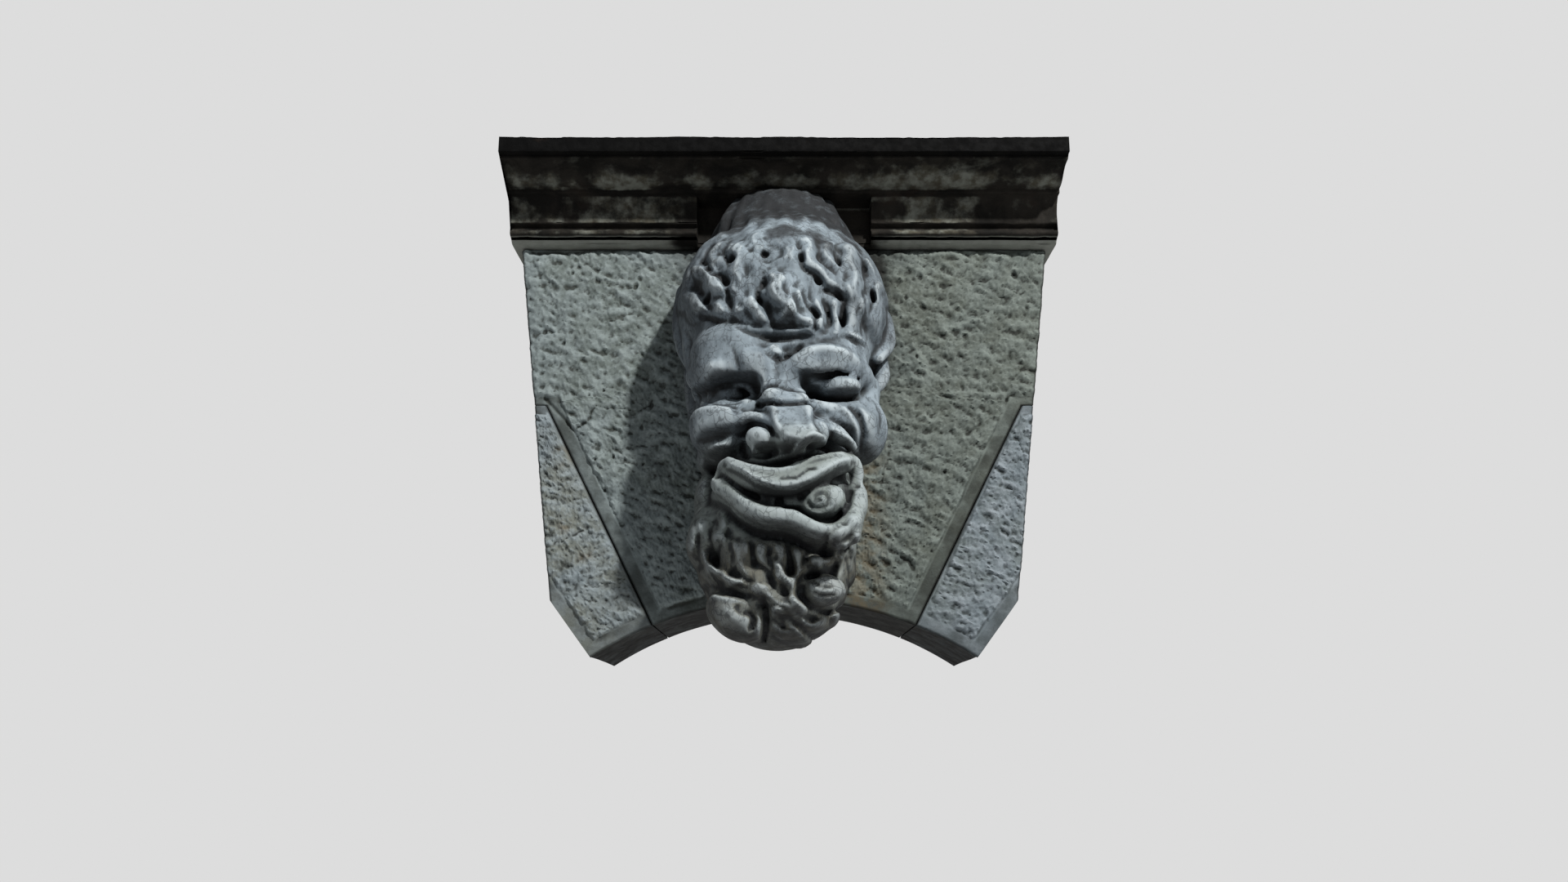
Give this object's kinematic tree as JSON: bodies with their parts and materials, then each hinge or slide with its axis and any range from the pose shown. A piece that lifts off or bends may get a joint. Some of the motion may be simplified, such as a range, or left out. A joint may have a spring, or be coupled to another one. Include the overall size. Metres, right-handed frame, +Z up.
{
  "type": "keystone mask",
  "caption": "Grinning bearded grotesque carved on an arch keystone, with rough-faced stones beside it and a moulded cornice over it.",
  "frame": {"origin": "on the flat back of the keystone, above the middle of the arch, 0.208 m over the arch crown", "axes": "+Z up, +Y into the wall behind, -Y the way the mask looks, +X to the viewer's right"},
  "size_m": [0.754, 0.4636, 0.6711],
  "materials": {
    "mask_keystone": "weathered carved marble",
    "haunch_left": "rough-pecked weathered stone",
    "haunch_right": "rough-pecked weathered stone",
    "voussoir_left": "rough-pecked weathered stone",
    "voussoir_right": "rough-pecked weathered stone",
    "cornice": "moulded stone under a black crust"
  },
  "bodies": {
    "root": {"mask_keystone": "mask_keystone", "haunch_left": "haunch_left", "haunch_right": "haunch_right", "voussoir_left": "voussoir_left", "voussoir_right": "voussoir_right", "cornice": "cornice"}
  },
  "joints": []
}
